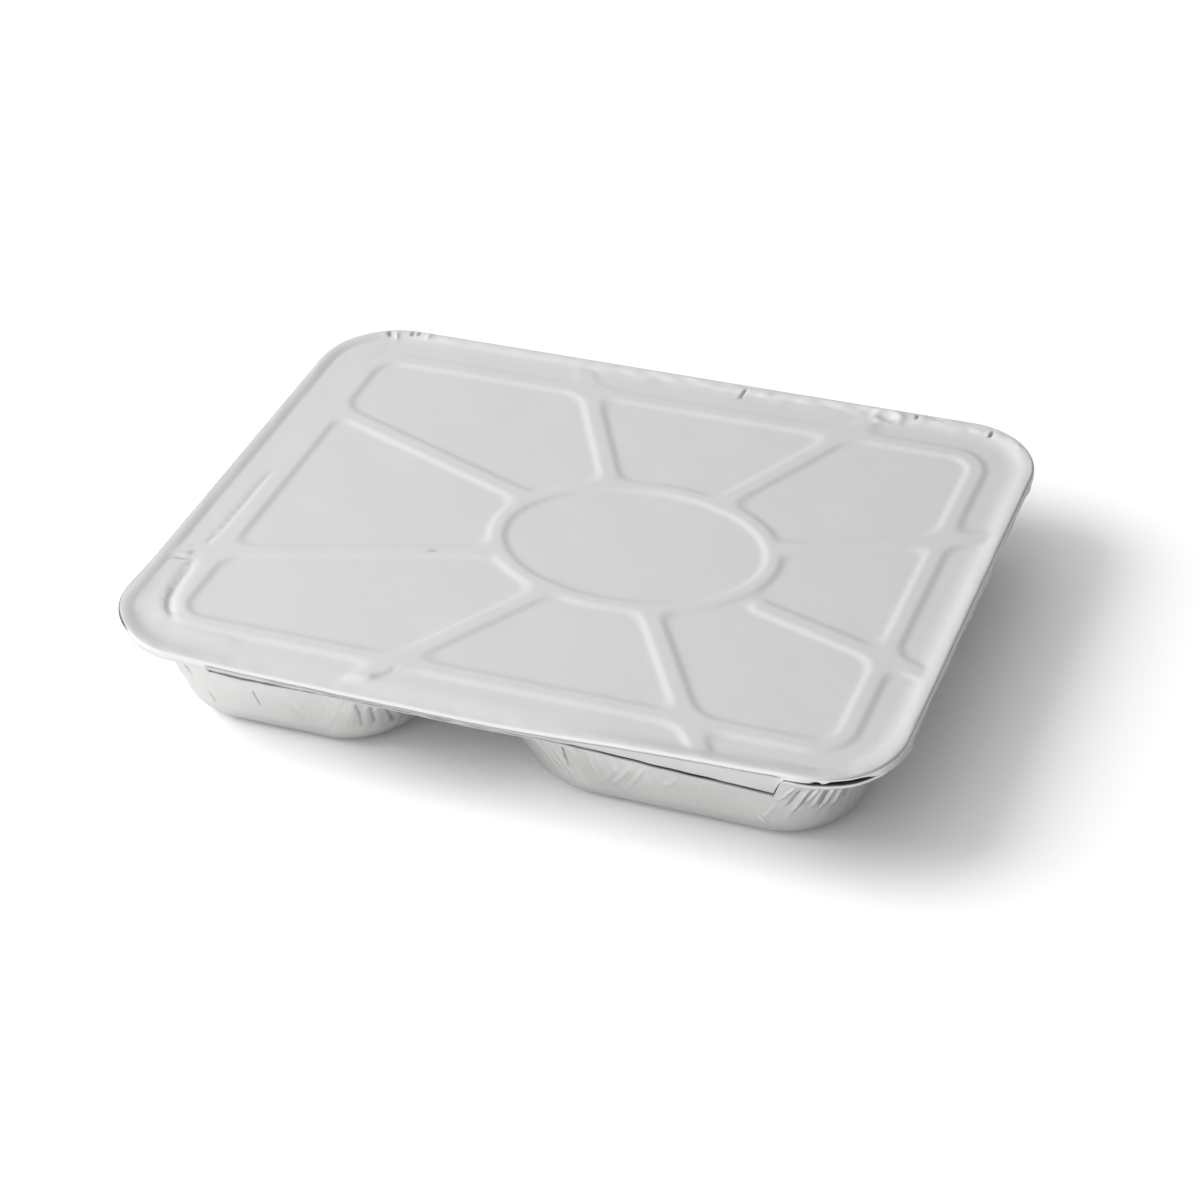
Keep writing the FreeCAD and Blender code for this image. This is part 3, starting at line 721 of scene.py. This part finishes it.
def compartment(left, right, left_draft, right_draft, seed):
    """Rows of points down the wall of one compartment, from its mouth to the edge of its floor, with the
    shade painted in its deep creases.
    """
    stations, whole = wall_walk(left, right)
    first = stations[:, 0].astype(int)
    second = stations[:, 1].astype(int)
    share, angle, travelled, in_corner = stations[:, 2], stations[:, 3], stations[:, 4], stations[:, 5]
    front, back = -half_width + flange_width, half_width - flange_width

    def cornered(at):
        return np.interp(at, travelled, in_corner)

    rows, painted_darks = [], []
    for row in range(wall_rows + fillet_rows + 1):
        if row <= wall_rows:
            z = flange_level - (flange_level - floor_fillet) * row / wall_rows
            swell = mouth_flare * (1 - ease(row / mouth_flare_rows)) if row < 2 else 0.0
        else:
            bend = math.pi / 2 * (row - wall_rows) / fillet_rows
            z = floor_fillet * (1 - math.sin(bend))
            swell = -floor_fillet * (1 - math.cos(bend))
        low = 1 - z / flange_level
        radius = mouth_radius + (floor_corner - mouth_radius) * low
        x0, x1 = left + left_draft * low, right - right_draft * low
        y0, y1 = front + outer_draft * low, back - outer_draft * low
        centres = np.array([(x1 - radius, y0 + radius), (x1 - radius, y1 - radius),
                            (x0 + radius, y1 - radius), (x0 + radius, y0 + radius)])
        centre = centres[first] * (1 - share)[:, None] + centres[second] * share[:, None]
        x = centre[:, 0] + radius * np.cos(angle)
        y = centre[:, 1] + radius * np.sin(angle)

        shift = np.interp(x, *zip(*fold_lean)) * (z - lean_height) * ease((-y - lean_from) / lean_run)
        shift = shift * ease((z - floor_fillet) / lean_foot_run) * ease((lean_top - z) / lean_top_run)
        place = (travelled + shift) % whole
        x, y, out_x, out_y = (np.interp(place, travelled, part, period=whole)
                              for part in (x, y, np.cos(angle), np.sin(angle)))

        at_front = ease((-y - front_from) / front_run)
        by_hand = at_front * np.where(x < 0, left_by_hand * ease((x - left_by_hand_x) / by_hand_run),
                                      right_by_hand * ease((x - right_by_hand_x) / by_hand_run))
        off_floor = ease((z - dent_foot) / dent_run)
        worked = gathers(place, whole, cornered, z, seed) * (1 - by_hand)
        worked += crinkle * waves(place, z * crinkle_stretch, crinkle_size, seed + 1) * off_floor
        worked += broad_dents * waves(place, z, broad_dent_size, seed + 2) * ease((z - 0.5) / dent_run)
        worked += small_dents * waves(place, z, small_dent_size, seed + 4) * off_floor
        painted_dark = np.zeros(len(travelled))
        for start, end, width, height in front_creases:
            away, _, _ = near_line(x, z, (start, end))
            narrow = width * (sharp_share if height < 0 and width < sharp_width else soft_share)
            height = height * (strong_gain if strong_from < start[0] < strong_to else 1.0)
            crease = np.exp(-(away / narrow) ** 2)
            worked += height * crease * at_front
            # Painted shade: deep creases on the front are darkened in their colour, standing for the shadow
            # inside them.
            if height < -painted_crease_depth:
                painted_dark = np.maximum(painted_dark, painted_crease_share * crease * at_front)

        reach = swell + worked if row > 0 else swell
        level = np.full(len(x), z + tray_gauge * low)
        rows.append(np.column_stack([x + reach * out_x, y + reach * out_y, level]))
        painted_darks.append(painted_dark)
    return rows, painted_darks


grid_shift = (0.31, 0.17)
grid_clear = 0.45


def net_inside(borders, pitch, allowed, level):
    """Points and triangles that fill a flat stretch between closed borders."""
    flat = np.concatenate(borders)
    edges, at = [], 0
    for border in borders:
        count = len(border)
        edges += [(at + k, at + (k + 1) % count) for k in range(count)]
        at += count
    xs, ys = np.arange(-half_length, half_length, pitch), np.arange(-half_width, half_width, pitch)
    gx, gy = np.meshgrid(xs, ys)
    gx, gy = gx.ravel() + grid_shift[0], gy.ravel() + grid_shift[1]
    keep = allowed(gx, gy, grid_clear * pitch)
    points = np.concatenate([flat[:, :2], np.column_stack([gx[keep], gy[keep]])])
    laid, _, faces, _, _, _ = delaunay_2d_cdt([Vector(p) for p in points.tolist()], edges, [], 0, 1e-6)
    laid = np.array([tuple(p) for p in laid])
    kept = []
    for face in faces:
        middle = laid[list(face)].mean(axis=0)
        if not allowed(middle[:1], middle[1:], 0.0)[0]:
            continue
        a, b, c = (laid[i] for i in face[:3])
        turn = (b[0] - a[0]) * (c[1] - a[1]) - (b[1] - a[1]) * (c[0] - a[0])
        kept.append(face if turn > 0 else face[::-1])
    heights = level(laid[:, 0], laid[:, 1])
    heights[:len(flat)] = flat[:, 2]
    return np.column_stack([laid, heights]), kept


def in_box(x, y, bounds, radius, margin):
    """Whether a point lies inside a rounded box, by at least a margin."""
    cx, cy = (bounds[0] + bounds[2]) / 2, (bounds[1] + bounds[3]) / 2
    qx = np.abs(x - cx) - ((bounds[2] - bounds[0]) / 2 - radius)
    qy = np.abs(y - cy) - ((bounds[3] - bounds[1]) / 2 - radius)
    outside = np.hypot(np.maximum(qx, 0), np.maximum(qy, 0)) + np.minimum(np.maximum(qx, qy), 0) - radius
    return outside < -margin


tray_points, tray_faces, tray_shade = [], [], []


def add_rows(rows, shade, flip):
    """Joins rows of points by faces, and returns the index of the last row's first point."""
    tray_shade.extend(shade)
    start = sum(len(p) for p in tray_points)
    count = len(rows[0])
    tray_points.extend(rows)
    for row in range(len(rows) - 1):
        low = start + row * count
        high = low + count
        for k in range(count):
            following = (k + 1) % count
            face = (low + k, low + following, high + following, high + k)
            tray_faces.append(face[::-1] if flip else face)
    return start + (len(rows) - 1) * count


def add_net(points, faces, borders, flip):
    """Adds a flat stretch whose first points are borders that the tray already has."""
    known = []
    for first, count in borders:
        known += list(range(first, first + count))
    start = sum(len(p) for p in tray_points) - len(known)
    tray_points.append(points[len(known):])
    tray_shade.append(np.zeros(len(points) - len(known)))
    for face in faces:
        face = [known[i] if i < len(known) else start + i for i in face]
        tray_faces.append(tuple(face[::-1] if flip else face))


tray_step = 1.5
tray_path, tray_normal = plan_walk(plan_radius, tray_step, tray_step, [(0, 0)])
tray_path = pushed_corner(tray_path, tray_normal)
bead_rows = rolled_bead(tray_path, tray_normal)

# Painted shade: under the lifted corner of the lid, the gap along the bead is darkened in its colour.
gap_shade, gap_first_row, gap_last_row, gap_reach = 0.95, 4, 10, 19.0
gap_away = np.hypot(tray_path[:, 0] - lift_centre[0], tray_path[:, 1] - lift_centre[1])
under_lid = np.exp(-(gap_away / gap_reach) ** 6)
bead_shade = [under_lid * (gap_shade if gap_first_row <= row <= gap_last_row else 0.0)
              for row in range(bead_steps + 1)]
bead_last = add_rows(bead_rows, bead_shade, flip=False)
outer_x = half_length - flange_width
half_divider = divider_width / 2
front_y = half_width - flange_width
halves = (
    (-outer_x, divider_x - half_divider, left_end_draft, divider_draft, 31),
    (divider_x + half_divider, outer_x, divider_draft, right_end_draft, 41),
)
floor_margin = 0.05
mouths, mouth_rows = [], []
for left, right, left_draft, right_draft, seed in halves:
    rows, shade = compartment(left, right, left_draft, right_draft, seed)
    first = sum(len(p) for p in tray_points)
    floor_first = add_rows(rows, shade, flip=True)
    mouth = (left - mouth_flare, -front_y - mouth_flare, right + mouth_flare, front_y + mouth_flare)
    mouths.append((mouth, (first, len(rows[0]))))
    mouth_rows.append(rows[0])
    bounds = (left + left_draft + floor_fillet, -front_y + outer_draft + floor_fillet,
              right - right_draft - floor_fillet, front_y - outer_draft - floor_fillet)

    def on_floor(x, y, margin, bounds=bounds):
        return in_box(x, y, bounds, floor_corner - floor_fillet, margin - floor_margin)

    def floor_level(x, y):
        return np.full(len(x), tray_gauge)

    floor_points, floor_faces = net_inside([rows[-1]], floor_net, on_floor, floor_level)
    add_net(floor_points, floor_faces, [(floor_first, len(rows[-1]))], flip=False)

bead_inner_edge = 0.79


def on_flange(x, y, margin):
    """Whether a point lies on the flange or the divider, clear of both mouths."""
    inside = -past_plan(x, y, 0.0, plan_radius) > bead_inset + bead_inner_edge + margin
    for bounds, _ in mouths:
        inside &= ~in_box(x, y, bounds, mouth_radius + mouth_flare, -margin)
    return inside


def flange_height(x, y):
    return flange_level + sag(x, y)


# The mouths' first rows bend with the flange that they join.
for rows in mouth_rows:
    rows[:, 2] += sag(rows[:, 0], rows[:, 1])
flange_borders = [bead_rows[-1]] + mouth_rows
flange_points, flange_faces = net_inside(flange_borders, flange_net, on_flange, flange_height)
add_net(flange_points, flange_faces, [(bead_last, len(tray_path))] + [m[1] for m in mouths], flip=False)

all_points, all_shade = np.concatenate(tray_points), np.concatenate(tray_shade)
tray = foil_piece("pressed_tray", all_points, tray_faces, all_shade, tray_gauge)
tray_colour, tray_roughness, tray_grain = (0.78, 0.78, 0.77), 0.34, 0.4
tray.data.materials.append(satin_foil("tray_foil", tray_colour, tray_roughness, tray_grain))
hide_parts("foil_tray")
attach(tray, "root")

# The table
# A plain white surface, wide enough to fill the view, that keeps the container's soft shadow.
paper_white = 0.78
paper_seen = 1.0
floor_mesh = bpy.data.meshes.new("table")
reach = 12.0
corners = [(-reach, -reach, 0), (reach, -reach, 0), (reach, reach, 0), (-reach, reach, 0)]
floor_mesh.from_pydata(corners, [], [(0, 1, 2, 3)])
floor = bpy.data.objects.new("table", floor_mesh)
bpy.context.scene.collection.objects.link(floor)
paper = bpy.data.materials.new("white_paper")
paper.use_nodes = True
nodes, links = paper.node_tree.nodes, paper.node_tree.links
shader = nodes["Principled BSDF"]
path = nodes.new("ShaderNodeLightPath")
seen = nodes.new("ShaderNodeMath")
seen.operation = "MAXIMUM"
links.new(path.outputs["Is Camera Ray"], seen.inputs[0])
links.new(path.outputs["Is Transmission Ray"], seen.inputs[1])
tone = nodes.new("ShaderNodeMix")
tone.data_type = "RGBA"
tone.inputs["A"].default_value = (paper_white, paper_white, paper_white, 1)
tone.inputs["B"].default_value = (paper_seen, paper_seen, paper_seen, 1)
links.new(seen.outputs["Value"], tone.inputs["Factor"])
links.new(tone.outputs["Result"], shader.inputs["Base Color"])
shader.inputs["Roughness"].default_value = 0.9
shader.inputs["Specular IOR Level"].default_value = 0.1
floor_mesh.materials.append(paper)

# The light
# A bright room with a white ceiling, lighter on the left, and one broad soft lamp at the left.
room_dim = 0.20
room_bright = 1.36
bright_side = (-0.93, -0.30, 0.20)
world = bpy.data.worlds.new("studio")
bpy.context.scene.world = world
world.use_nodes = True
nodes, links = world.node_tree.nodes, world.node_tree.links
nodes.clear()
place = nodes.new("ShaderNodeTexCoord")
leftness = nodes.new("ShaderNodeVectorMath")
leftness.operation = "DOT_PRODUCT"
leftness.inputs[1].default_value = bright_side
links.new(place.outputs["Generated"], leftness.inputs[0])
brightness = nodes.new("ShaderNodeMapRange")
brightness.inputs["From Min"].default_value = -0.45
brightness.inputs["From Max"].default_value = 0.85
brightness.inputs["To Min"].default_value = room_dim
brightness.inputs["To Max"].default_value = room_bright
links.new(leftness.outputs["Value"], brightness.inputs["Value"])
background = nodes.new("ShaderNodeBackground")
background.inputs["Color"].default_value = (1.0, 1.0, 1.0, 1)
links.new(brightness.outputs["Result"], background.inputs["Strength"])
output = nodes.new("ShaderNodeOutputWorld")
links.new(background.outputs["Background"], output.inputs["Surface"])

lamp_size, lamp_power = 1.3, 23.0
lamp_place = (-1.20, -0.30, 1.05)
lamp_data = bpy.data.lights.new("soft_lamp", "AREA")
lamp_data.shape = "DISK"
lamp_data.size = lamp_size
lamp_data.energy = lamp_power
lamp = bpy.data.objects.new("soft_lamp", lamp_data)
lamp.location = lamp_place
lamp.rotation_mode = "QUATERNION"
lamp.rotation_quaternion = Vector(lamp.location).to_track_quat("Z", "Y")
lamp.visible_glossy = False
bpy.context.scene.collection.objects.link(lamp)
bpy.context.scene.view_settings.view_transform = "Standard"

# The camera
# It stands in front and to the right, looking down, with a long lens and a slight tilt.
azimuth, elevation, roll = math.radians(22.134), math.radians(35.894), math.radians(-2.604)
aim = Vector((15.31, -30.0, rim_top)) * MM
distance = 839.4 * MM
focal_pixels, frame_pixels = 3040.2, 1200
back = Vector((math.sin(azimuth) * math.cos(elevation), -math.cos(azimuth) * math.cos(elevation),
               math.sin(elevation)))
level_right = Vector((0, 0, 1)).cross(back).normalized()
level_up = back.cross(level_right)
right = math.cos(roll) * level_right + math.sin(roll) * level_up
up = -math.sin(roll) * level_right + math.cos(roll) * level_up
camera_data = bpy.data.cameras.new("camera")
camera_data.sensor_width = 36.0
camera_data.lens = focal_pixels / frame_pixels * camera_data.sensor_width
camera_data.clip_end = 20.0
camera = bpy.data.objects.new("camera", camera_data)
turned = Matrix((right, up, back)).transposed().to_4x4()
camera.matrix_world = Matrix.Translation(aim + back * distance) @ turned
bpy.context.scene.collection.objects.link(camera)
bpy.context.scene.camera = camera
